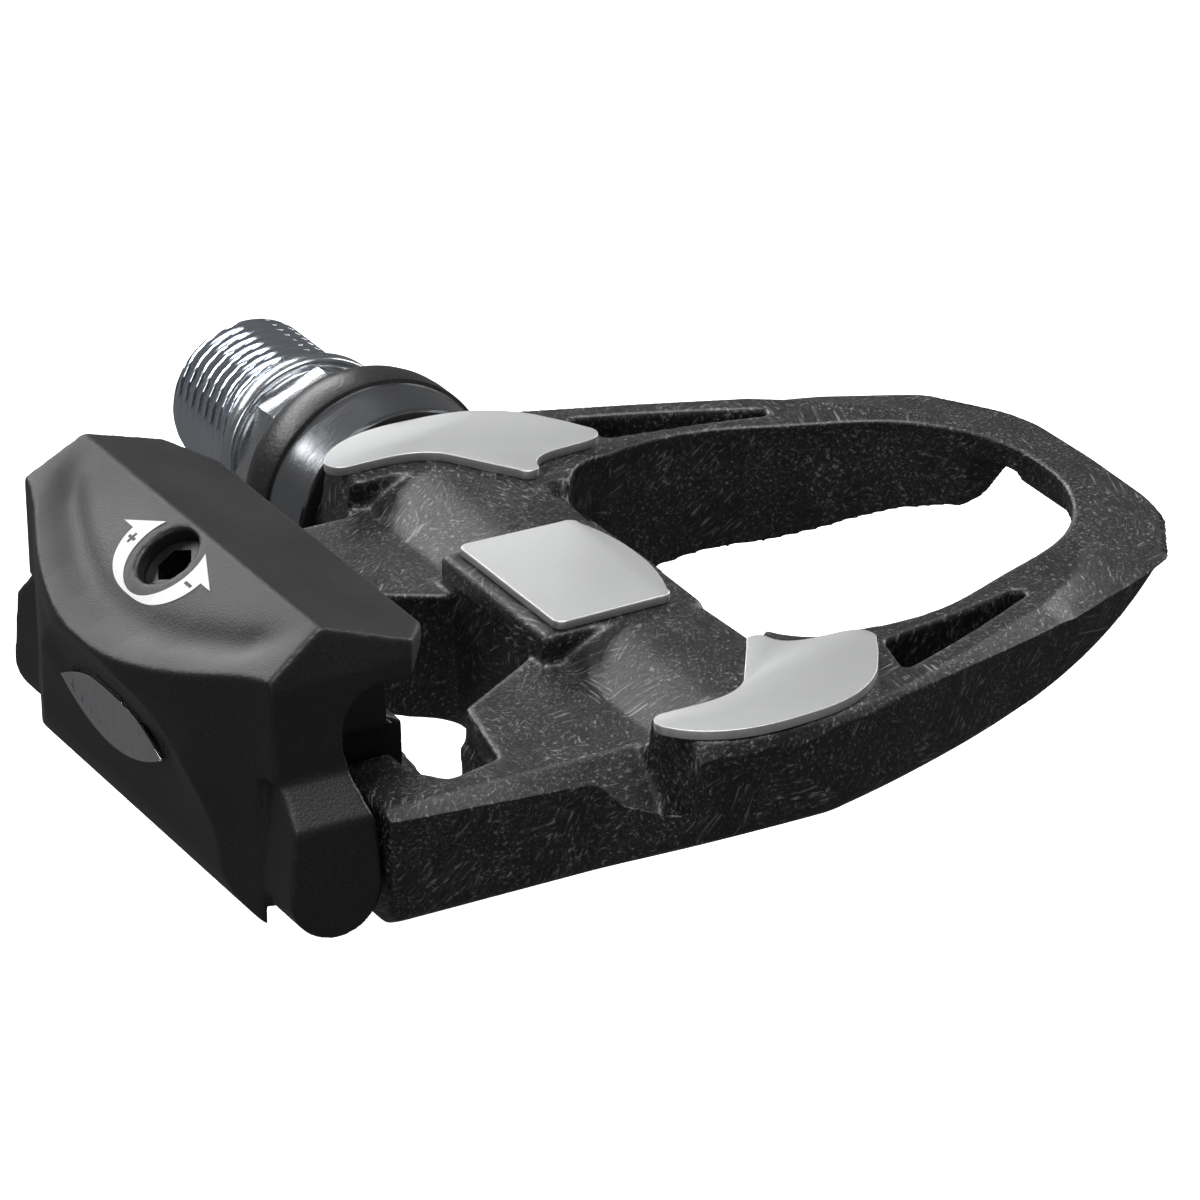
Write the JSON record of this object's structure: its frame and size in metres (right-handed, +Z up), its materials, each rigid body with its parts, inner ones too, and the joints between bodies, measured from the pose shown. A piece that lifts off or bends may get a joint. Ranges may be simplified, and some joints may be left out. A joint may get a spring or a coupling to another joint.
{
  "type": "clipless road bicycle pedal",
  "caption": "Right-hand clipless road pedal: composite platform on a sealed-bearing axle with a sprung, tension-adjustable rear cleat binding",
  "frame": {"origin": "on the axle axis, at the shoulder that seats on the crank arm", "axes": "+X forward towards the toe, +Y along the axle towards the crank, +Z up out of the platform"},
  "size_m": [0.0919, 0.0977, 0.0314],
  "materials": {
    "axle_steel": "machined, polished thread",
    "nut_steel": "zinc plated",
    "bearing_steel": "ground and polished",
    "cage_nylon": "moulded",
    "composite": "chopped-fibre moulding with a satin surface",
    "pad_steel": "bead-blasted stainless",
    "sleeve_black": "black anodised, polished waist",
    "seal_rubber": "moulded",
    "pin_steel": "ground",
    "spring_steel": "oiled",
    "binding_black": "fine-grained black",
    "badge_chrome": "ribbed bright plate",
    "bolt_black": "black oxide"
  },
  "bodies": {
    "axle": {"spindle": "axle_steel", "cone_nut": "nut_steel", "lock_nut": "nut_steel"},
    "platform": {"pedal_body": "composite", "inner_pad": "pad_steel", "outer_pad": "pad_steel", "centre_pad": "pad_steel", "lock_bolt": "sleeve_black", "bearing_tube": "bearing_steel", "inner_cup": "bearing_steel", "outer_cup": "bearing_steel", "dust_seal": "seal_rubber", "pivot_pin": "pin_steel", "spring_bushes": "cage_nylon", "inner_spring": "spring_steel", "outer_spring": "spring_steel"},
    "inner_ball_set": {"inner_balls": "bearing_steel"},
    "needle_set": {"needle_rollers": "bearing_steel", "needle_cage": "cage_nylon"},
    "outer_ball_set": {"outer_balls": "bearing_steel"},
    "binding": {"rear_binding": "binding_black", "rear_badge": "badge_chrome", "tension_plate": "nut_steel"},
    "tension_screw": {"tension_bolt": "bolt_black", "bolt_clip": "spring_steel"}
  },
  "joints": [
    {"name": "pedal_spin", "type": "hinge", "parent": "axle", "child": "platform", "pos_m": [0, -0.052, 0], "axis": [0, 1, 0], "continuous": true},
    {"name": "inner_balls_spin", "type": "hinge", "parent": "axle", "child": "inner_ball_set", "pos_m": [0, -0.016, 0], "axis": [0, 1, 0], "continuous": true},
    {"name": "needles_spin", "type": "hinge", "parent": "axle", "child": "needle_set", "pos_m": [0, -0.041, 0], "axis": [0, 1, 0], "continuous": true},
    {"name": "outer_balls_spin", "type": "hinge", "parent": "axle", "child": "outer_ball_set", "pos_m": [0, -0.059, 0], "axis": [0, 1, 0], "continuous": true},
    {"name": "binding_hinge", "type": "hinge", "parent": "platform", "child": "binding", "pos_m": [-0.0358, -0.052, 0.00045], "axis": [0, -1, 0], "range_deg": [0, 22], "stiffness_Nm_per_rad": 4, "springref_deg": -28.65, "deforming": ["inner_spring", "outer_spring"]},
    {"name": "tension_turn", "type": "hinge", "parent": "binding", "child": "tension_screw", "pos_m": [-0.03491, -0.052, 0.01524], "axis": [-0.5373, 0, 0.8434], "range_deg": [0, 720]}
  ],
  "couplings": [
    {"joint": "inner_balls_spin", "follows": "pedal_spin", "ratio": 0.592},
    {"joint": "needles_spin", "follows": "pedal_spin", "ratio": 0.584},
    {"joint": "outer_balls_spin", "follows": "pedal_spin", "ratio": 0.605}
  ]
}
